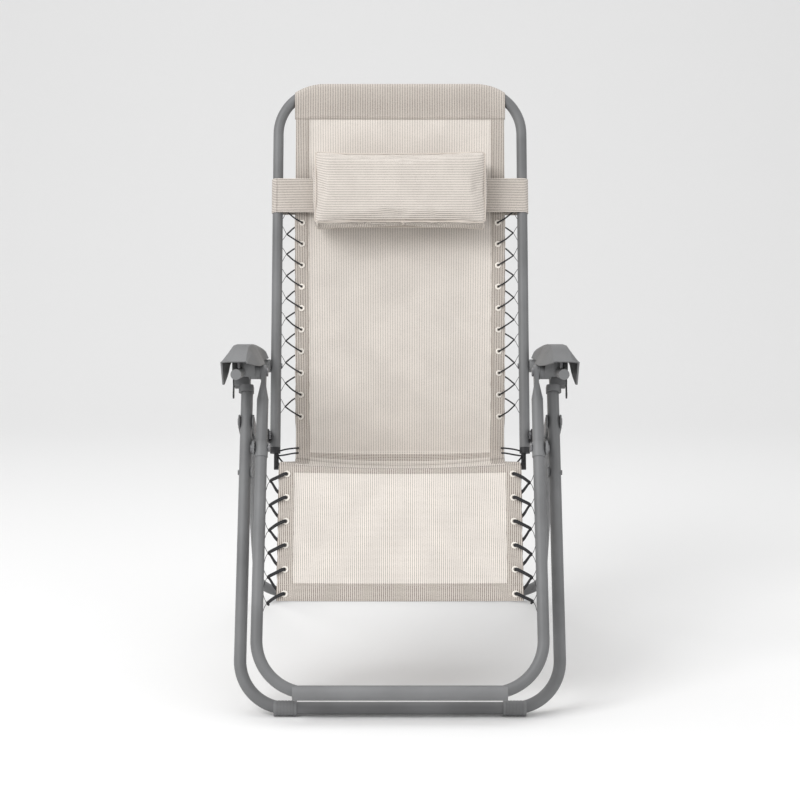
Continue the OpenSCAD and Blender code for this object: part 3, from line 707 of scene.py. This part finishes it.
def lace(side, tag):
    rope, thin = Parts(), Parts()
    hook = 227
    for i, t in enumerate(BACK_EYES):
        wobble = 1.6 * math.sin(2.3 * i + side)
        mid = t + 0.5 * EYELET_PITCH + wobble
        nxt = t + EYELET_PITCH
        a = [(196.5, t - 0.6, -3.0), (197.2, t + 0.6, 2.4), (200.5, t + 2.2, 3.2), (213, t + 9.5, 3.4),
             (hook - 2.2, mid - 2.6, 2.0), (hook, mid, 0.4), (hook - 2.2, mid + 2.4, -1.8)]
        if i < len(BACK_EYES) - 1:
            a += [(213, nxt - 9.5, -3.6), (200.5, nxt - 2.6, -3.6), (196.9, nxt - 0.8, -2.6)]
        rope.add(sweep(smooth_path([(side * x, *laced(on_back, x, q, o)) for x, q, o in a]), 1.5, 10))
        anchor = (235.6, t + 0.72 * EYELET_PITCH + 4)
        before = (235.6, t + 0.22 * EYELET_PITCH - 2)
        b = [(before[0], before[1], 1.5), (hook + 4, mid - 6, 1.0), (hook + 0.2, mid - 0.4, 1.6),
             (hook - 0.9, mid + 0.6, 0.2), (hook + 1.2, mid + 1.0, -1.4), (hook + 4, mid + 6, 0.4),
             (anchor[0], anchor[1], 1.5)]
        thin.add(sweep(smooth_path([(side * x, *on_back(q, o)) for x, q, o in b], 2.0, 0.4), 0.55, 7))
    for a in HIP_STRANDS:
        rope.add(sweep(smooth_path([(side * x, *on_back(back_t(404) + q, o)) for x, q, o in a]), 1.6, 10))
    obj = rope.done("back_bungee_lace_" + tag, "cord")
    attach(obj, "back")
    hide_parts("back_bungee_" + tag)
    obj = thin.done("back_thin_cord_" + tag, "thin_cord")
    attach(obj, "back")
    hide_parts("back_cord_" + tag)
    rope, thin = Parts(), Parts()
    hook = 232
    for i, s in enumerate(LEG_EYES):
        wobble = 1.5 * math.sin(1.9 * i + 2 * side)
        mid = s + 15.0 + wobble
        for strand in (-1, 1):
            w = 1.45 * strand
            a = [(201.5, s + 1 + w * 0.3, -3.2), (202.8, s + 0.2 + w, 2.6), (207, s + 1.2 + w, 4.2),
                 (219, s + 7.5 + w, 4.0), (hook - 3.4, mid - 2.0 + w * 0.9, 2.6), (hook, mid + w * 0.5, 0.3),
                 (hook - 3.4, mid + 2.2 + w * 0.4, -2.4)]
            if i < len(LEG_EYES) - 1:
                nxt = s + EYELET_PITCH
                a += [(219, nxt - 13 + w, -4.2), (206, nxt - 3 + w, -4.2), (202, nxt - 1.5 + w * 0.3, -3.0)]
            rope.add(sweep(smooth_path([(side * x, *laced(on_foot, x, q, o)) for x, q, o in a]), 1.75, 10))
        b = [(239.2, s + 0.02 * EYELET_PITCH, 1.5), (hook + 4, mid - 6, 1.2), (hook + 0.6, mid - 0.4, 2.0),
             (hook - 0.9, mid + 0.8, 0.2), (hook + 1.4, mid + 1.2, -1.8), (hook + 4, mid + 6, 0.4),
             (239.2, s + 0.75 * EYELET_PITCH, 1.5)]
        thin.add(sweep(smooth_path([(side * x, *on_foot(q, o)) for x, q, o in b], 2.0, 0.4), 0.55, 7))
    obj = rope.done("leg_bungee_lace_" + tag, "cord")
    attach(obj, "footrest")
    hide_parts("leg_bungee_" + tag)
    obj = thin.done("leg_thin_cord_" + tag, "thin_cord")
    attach(obj, "footrest")
    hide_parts("leg_cord_" + tag)


lace(-1, "left")
lace(1, "right")


# ---- armrests ----
def on_arm(x, along, up):
    y, z = ARM_FRONT + SEAT_DIR * along + SEAT_UP * up
    return (x, y, z)


ARM_STATIONS = [-112, -107, -99, -88, -76, -66, -54, -36, -16, 10, 36, 52, 66,
                110, 160, 210, 260, 300, 317, 323]


def arm_section(a):
    """Outer profile at one station, from the inner skirt over the top to the outer skirt."""
    top = np.interp(a, [-112, -104, -90, -76, -58, -36, 36, 60, 110, 180, 250, 300, 318, 324],
                    [23.8, 29.5, 37.5, 43.5, 47.5, 49.6, 50, 49, 46.5, 42, 37, 33, 30, 25.5])
    shoulder = np.interp(a, [-112, -58, 110, 300, 324], [21.8, 23.5, 24, 21, 18.5])
    skirt = np.interp(a, [-112, -107, -94, -72, 0, 40, 60, 330], [20.4, 16, -18, -20, -5, 12, 14.5, 14.5])
    flank_x = np.interp(a, [-112, -90, -76, -58, -36, 36, 52, 66, 330],
                        [268.5, 262, 256, 249.5, 248, 248, 252, 262.3, 262.3])
    flank_z = np.interp(a, [-112, -90, -76, -58, 36, 66, 330], [20.8, 18, 15.5, 14, 14, 14.6, 14.6])
    mid_x = np.interp(a, [-112, -76, -36, 36, 66, 330], [269.2, 264, 261, 261, 266.5, 266.5])
    mid_z = top - np.interp(a, [-112, -90, -36, 36, 66, 330], [1.4, 7, 12, 12, 5, 5])
    left = np.interp(a, [-112, -60, 330], [271.5, 271.0, 271.5])
    right = np.interp(a, [-112, -60, 330], [303.5, 300.0, 299.0])
    outer = np.interp(a, [-112, -60, 200, 324], [317, 317, 316.5, 314])
    return [(flank_x, flank_z), (mid_x, mid_z), (left, top), (right, top),
            (outer, shoulder), (outer - 1.5, skirt)]


def armrest(side, tag):
    verts, faces = [], []
    for a in ARM_STATIONS:
        for x, up in arm_section(a):
            verts.append(on_arm(side * x, a, up))
    n = 6
    for i in range(len(ARM_STATIONS) - 1):
        for k in range(n - 1):
            faces.append((i * n + k, i * n + k + 1, (i + 1) * n + k + 1, (i + 1) * n + k))
    last = (len(ARM_STATIONS) - 1) * n
    faces.append((last + 1, last + 2, last + 3, last + 4))
    faces.append((last, last + 1, last + 4, last + 5))
    obj = make("armrest_shell_" + tag, verts, faces, "plastic")
    fix_normals(obj)
    bm = bmesh.new()
    bm.from_mesh(obj.data)
    probe = max(bm.faces, key=lambda f: f.calc_center_median().z)
    if probe.normal.z < 0:
        bmesh.ops.reverse_faces(bm, faces=bm.faces)
    bm.to_mesh(obj.data)
    bm.free()
    solid = obj.modifiers.new("thickness", "SOLIDIFY")
    solid.thickness = 2.6 * MM
    solid.offset = -1
    solid.use_even_offset = False
    bevel = obj.modifiers.new("soft_edges", "BEVEL")
    bevel.width = 1.5 * MM
    bevel.segments = 3
    bevel.limit_method = "ANGLE"
    bevel.angle_limit = math.radians(17)
    bevel.harden_normals = False
    obj.data.polygons.foreach_set("use_smooth", [True] * len(obj.data.polygons))
    weighted = obj.modifiers.new("weighted", "WEIGHTED_NORMAL")
    weighted.keep_sharp = True
    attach(obj, "armrests")
    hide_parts("armrest_" + tag)
    parts = Parts()
    parts.add(lathe([(0, 0), (12.4, 0), (13.6, 1.0), (13.6, 2.4), (12.9, 3.0), (12.9, 19.4), (13.6, 20.2),
                     (13.6, 21.6), (12.4, 22.4), (0, 22.4)],
                    (side * 252.5, *ARM_FRONT), (side, 0, 0), 48))
    barrel = parts.done("arm_barrel_turned_" + tag, "plastic", smooth=True)
    auto_smooth(barrel)
    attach(barrel, "armrests")
    rib = Parts()
    corners = [(263.5, -8), (304.5, -8), (304.5, 20), (300.5, 39), (272.5, 39), (263.5, 22)]
    rib_verts = [on_arm(side * x, a, up) for a in (-17, -14.5) for x, up in corners]
    rib_faces = [tuple(range(6)), tuple(range(11, 5, -1))]
    rib_faces += [(k, k + 6, (k + 1) % 6 + 6, (k + 1) % 6) for k in range(6)]
    rib.add((rib_verts, rib_faces, [(0, 0, 0)] * 12))
    web = rib.done("armrest_inner_rib_" + tag, "plastic")
    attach(web, "armrests")


def auto_smooth(obj, angle=35):
    """Marks edges sharper than the angle, so that round parts look round and corners stay crisp."""
    bm = bmesh.new()
    bm.from_mesh(obj.data)
    for e in bm.edges:
        e.smooth = not (len(e.link_faces) == 2 and e.calc_face_angle(0) > math.radians(angle))
    for f in bm.faces:
        f.smooth = True
    bm.to_mesh(obj.data)
    bm.free()


armrest(-1, "left")
armrest(1, "right")


# ---- headrest pillow and strap ----
PILLOW_T = back_t(894)
PILLOW_OUT = BACK_TUBE / 2 + 0.3 + 1.8
PILLOW_W, PILLOW_H, PILLOW_D = 352.0, 158.0, 72.0


def pillow_point(x, h, d):
    y, z = on_back(PILLOW_T + h, PILLOW_OUT + d)
    return (x, y, z)


def pillow_mesh():
    """A boxed cushion, slightly smaller than its final size, with rounded edges."""
    bm = bmesh.new()
    bmesh.ops.create_cube(bm, size=1.0)
    for v in bm.verts:
        depth = (v.co.z + 0.5) * (PILLOW_D - 14) + 5
        v.co = Vector((v.co.x * (PILLOW_W - 10), v.co.y * (PILLOW_H - 10), depth)) * MM
    bmesh.ops.bevel(bm, geom=list(bm.edges), offset=8 * MM, segments=3, affect="EDGES", profile=0.6)
    data = bpy.data.meshes.new("headrest_pillow_soft")
    bm.to_mesh(data)
    bm.free()
    obj = bpy.data.objects.new("headrest_pillow_soft", data)
    bpy.context.scene.collection.objects.link(obj)
    return obj


def voxel_remesh(obj):
    remesh = obj.modifiers.new("remesh", "REMESH")
    remesh.mode = "VOXEL"
    remesh.voxel_size = 5.5 * MM
    bake_modifiers(obj)

def swell(obj, pressure, cap):
    """Puffs a closed mesh with a pressure cloth run, keeping each point within cap mm of its start."""
    start = coords(obj)
    cloth = obj.modifiers.new("cloth", "CLOTH")
    cloth.settings.quality = 6
    cloth.settings.mass = 0.25
    cloth.settings.tension_stiffness = 30
    cloth.settings.compression_stiffness = 30
    cloth.settings.shear_stiffness = 12
    cloth.settings.bending_stiffness = 1.2
    cloth.settings.use_pressure = True
    cloth.settings.uniform_pressure_force = pressure
    cloth.settings.effector_weights.gravity = 0
    cloth.collision_settings.use_collision = False
    scene = bpy.context.scene
    for f in range(1, 21):
        scene.frame_set(f)
    bake_modifiers(obj)
    scene.frame_set(1)
    end = coords(obj)
    move = end - start
    length = np.linalg.norm(move, axis=1)
    move *= np.minimum(1, cap * MM / np.maximum(length, 1e-9))[:, None]
    put_coords(obj, start + move)


def coords(obj):
    co = np.zeros(len(obj.data.vertices) * 3)
    obj.data.vertices.foreach_get("co", co)
    return co.reshape(-1, 3)


def put_coords(obj, co):
    obj.data.vertices.foreach_set("co", co.reshape(-1))
    obj.data.update()


def bake_modifiers(obj):
    deps = bpy.context.evaluated_depsgraph_get()
    data = bpy.data.meshes.new_from_object(obj.evaluated_get(deps))
    obj.modifiers.clear()
    old = obj.data
    obj.data = data
    bpy.data.meshes.remove(old)


def pillow():
    obj = pillow_mesh()
    voxel_remesh(obj)
    swell(obj, 2.0, 6)
    co = coords(obj) / MM
    # Squeezed to the finished outline: pulled-in sides between ear-like corners, flat against the sling.
    half_w, half_h = PILLOW_W / 2, PILLOW_H / 2
    x = co[:, 0] * (half_w / np.abs(co[:, 0]).max())
    h = co[:, 1] * (half_h / np.abs(co[:, 1]).max())
    d = (co[:, 2] - co[:, 2].min()) * (PILLOW_D / np.ptp(co[:, 2]))
    u, v, w = x / half_w, h / half_h, d / PILLOW_D
    flat = np.clip((0.18 - w) / 0.18, 0, 1)
    d = np.where(w < 0.18, d * (0.35 + 0.65 * (1 - flat)), d)
    edge_pull = 1 - 0.030 * (1 - u**2) * np.abs(v) ** 3
    h = h * edge_pull
    x = x * (1 - 0.014 * (1 - v**2) * np.abs(u) ** 6)
    ripple = 0.7 * np.sin(x * 0.16 + 1.3 * np.sin(h * 0.05)) * np.clip(np.abs(v) - 0.6, 0, 1) * 2.5
    d = d + ripple * np.clip(w, 0, 1)
    front_pull = 2.4 * np.exp(-((v - 0.985) / 0.05) ** 2) * (w > 0.4)
    d = d - front_pull
    local = np.stack([x, h, d], 1)
    world = np.array([pillow_point(*p) for p in local])
    put_coords(obj, world * MM)
    normals_ = np.zeros(len(obj.data.vertices) * 3)
    obj.data.vertices.foreach_get("normal", normals_)
    normals_ = normals_.reshape(-1, 3)
    up = np.array([0, *BACK_DIR])
    topness = np.abs(normals_ @ up)
    gusset = (topness > 0.6) & (np.abs(v) > 0.93) & (d < PILLOW_D * 0.8)
    a = obj.data.attributes.new("weave", "FLOAT_VECTOR", "POINT")
    place = np.where(gusset[:, None], np.stack([x, d, h * 0], 1), np.stack([h, x, d * 0], 1)) * MM
    a.data.foreach_set("vector", place.astype(np.float32).reshape(-1))
    obj.data.polygons.foreach_set("use_smooth", [True] * len(obj.data.polygons))
    obj.data.materials.clear()
    obj.data.materials.append(MAT["pillow"])
    sub = obj.modifiers.new("smooth", "SUBSURF")
    sub.levels = sub.render_levels = 1
    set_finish(obj, "pillow")
    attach(obj, "headrest")
    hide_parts("headrest_pillow")
    return local


pillow_local = pillow()


def surface_near(x, h, d, out=0.6):
    """The pillow's surface point nearest to a place in its own frame, moved a little outwards."""
    k = int(np.argmin(((pillow_local - (x, h, d)) ** 2).sum(1)))
    p = pillow_local[k]
    c = np.array([p[0] * 0.86, p[1] * 0.7, PILLOW_D * 0.5])
    q = p + (p - c) / np.linalg.norm(p - c) * out
    return q


def piping(depth, name):
    hw, hh = PILLOW_W / 2, PILLOW_H / 2
    ring = []
    for k in range(160):
        a = 2 * math.pi * k / 160
        ca, sa = math.cos(a), math.sin(a)
        e = 0.16
        x = hw * math.copysign(abs(ca) ** e, ca)
        h = hh * math.copysign(abs(sa) ** e, sa)
        ring.append(surface_near(x, h, depth, 0.4))
    ring = np.array(ring)
    for _ in range(6):
        ring = (np.roll(ring, 1, 0) + 2 * ring + np.roll(ring, -1, 0)) / 4
    pts = [pillow_point(*p) for p in ring]
    parts = Parts()
    parts.add(sweep(pts, 1.25, 8, closed=True))
    obj = parts.done(name, "piping")
    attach(obj, "headrest")


piping(PILLOW_D * 0.88, "pillow_seam_front")
piping(PILLOW_D * 0.12, "pillow_seam_rear")


def strap():
    """A flat band of the same mesh that runs round both back tubes, behind the sling and the pillow."""
    half = BACK_HALF + BACK_TUBE / 2 + 0.9
    r = BACK_TUBE / 2 + 0.9
    loop = []
    straight = half - r
    for x in np.linspace(-straight, straight, 60):
        loop.append((x, r))
    for k in range(1, 16):
        a = math.pi / 2 - math.pi * k / 16
        loop.append((straight + r * math.cos(a), r * math.sin(a)))
    for x in np.linspace(straight, -straight, 60):
        loop.append((x, -r - 12 * bowl(x)))
    for k in range(1, 16):
        a = -math.pi / 2 - math.pi * k / 16
        loop.append((-straight + r * math.cos(a), r * math.sin(a)))
    loop = np.array(loop)
    n = len(loop)
    tangent = np.roll(loop, -1, 0) - np.roll(loop, 1, 0)
    tangent /= np.linalg.norm(tangent, axis=1)[:, None]
    out = np.stack([-tangent[:, 1], tangent[:, 0]], 1)
    if out[5][1] < 0:
        out = -out
    lengths = np.concatenate([[0], np.cumsum(np.linalg.norm(np.diff(loop, axis=0), axis=1))])
    rows = [-35, -34.4, -32, -28, -14, 0, 14, 28, 32, 34.4, 35]
    verts, where = [], []
    for thick in (0.0, 1.0):
        for h in rows:
            t = thick * (0.4 if abs(h) == 35 else 1.0)
            for k in range(n):
                x, o = loop[k] + out[k] * (t + 0.15 * math.sin(loop[k][0] * 0.05))
                wave = 0.5 * math.sin(x * 0.021 + (2 if o > 0 else 0))
                y, z = on_back(PILLOW_T + h + wave, o)
                verts.append((x, y, z))
                where.append((h * MM, lengths[k] * MM, 0))
    m = len(rows)
    faces = []
    for i in range(m - 1):
        for k in range(n):
            a, b, c, d = i * n + k, i * n + (k + 1) % n, (i + 1) * n + (k + 1) % n, (i + 1) * n + k
            faces += [(a, b, c, d), (m * n + d, m * n + c, m * n + b, m * n + a)]
    for i in (0, m - 1):
        for k in range(n):
            a, b = i * n + k, i * n + (k + 1) % n
            faces.append((a, b, m * n + b, m * n + a))
    obj = make("headrest_band", verts, faces, "strap", where)
    fix_normals(obj)
    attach(obj, "headrest")
    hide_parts("headrest_strap")


strap()

# ---- CAD nodes that stay: materials and smooth shading ----
for name, node in nodes.items():
    if node.hide_render:
        continue
    if "bolts" in name or "screws" in name or "pins" in name:
        kind = "bolt"
    elif "foot_left" in name or "foot_right" in name:
        kind = "foot"
    elif "lever" in name or "bracket" in name:
        kind = "black" if "arm_rear" not in name else "plastic"
    elif any(k in name for k in ("cap", "spacers", "barrel", "sleeve")):
        kind = "plastic"
    else:
        kind = "frame"
    node.data.materials.clear()
    node.data.materials.append(MAT[kind])
    auto_smooth(node)

# ---- floor, backdrop and light ----
profile = [(-9.0, 0.0), (3.2, 0.0)]
for k in range(1, 13):
    a = math.pi / 2 * k / 12
    profile.append((3.2 + 2.6 * math.sin(a), 2.6 - 2.6 * math.cos(a)))
profile.append((5.8, 9.0))
verts, faces = [], []
for y, z in profile:
    verts += [(-9000, y * 1000, z * 1000), (9000, y * 1000, z * 1000)]
for i in range(len(profile) - 1):
    faces.append((2 * i, 2 * i + 1, 2 * i + 3, 2 * i + 2))
backdrop = Nodes("backdrop_paper")
shade = backdrop.noise(backdrop.position(), 60.0, 2.0)
paper = backdrop.mix(shade, (0.865, 0.865, 0.865, 1), (0.875, 0.875, 0.875, 1))
backdrop.link(paper, backdrop.bsdf.inputs["Base Color"])
backdrop.bsdf.inputs["Roughness"].default_value = 0.9
backdrop.bsdf.inputs["Specular IOR Level"].default_value = 0.1
MAT["backdrop"] = backdrop.mat
SLOT["backdrop"] = "frame"
floor = make("backdrop", verts, faces, "backdrop")
del floor["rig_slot"]


def area_light(name, location, target, size, power, color=(1, 1, 1)):
    data = bpy.data.lights.new(name, "AREA")
    data.shape = "RECTANGLE"
    data.size, data.size_y = size
    data.energy = power
    data.color = color
    obj = bpy.data.objects.new(name, data)
    obj.location = location
    direction = Vector(target) - Vector(location)
    obj.rotation_euler = direction.to_track_quat("-Z", "Y").to_euler()
    bpy.context.scene.collection.objects.link(obj)


area_light("key", (-2.6, -2.8, 3.4), (0, 0, 0.5), (2.4, 2.4), 118)
area_light("fill", (3.4, -3.2, 2.0), (0, 0, 0.6), (3.0, 3.0), 28)
area_light("top", (0, 0.6, 4.6), (0, 0.4, 0), (4.5, 4.5), 70)
world = bpy.data.worlds.new("studio")
world.use_nodes = True
world.node_tree.nodes["Background"].inputs[0].default_value = (1.0, 1.0, 1.0, 1)
world.node_tree.nodes["Background"].inputs[1].default_value = 0.62
bpy.context.scene.world = world
bpy.context.scene.view_settings.view_transform = "Standard"
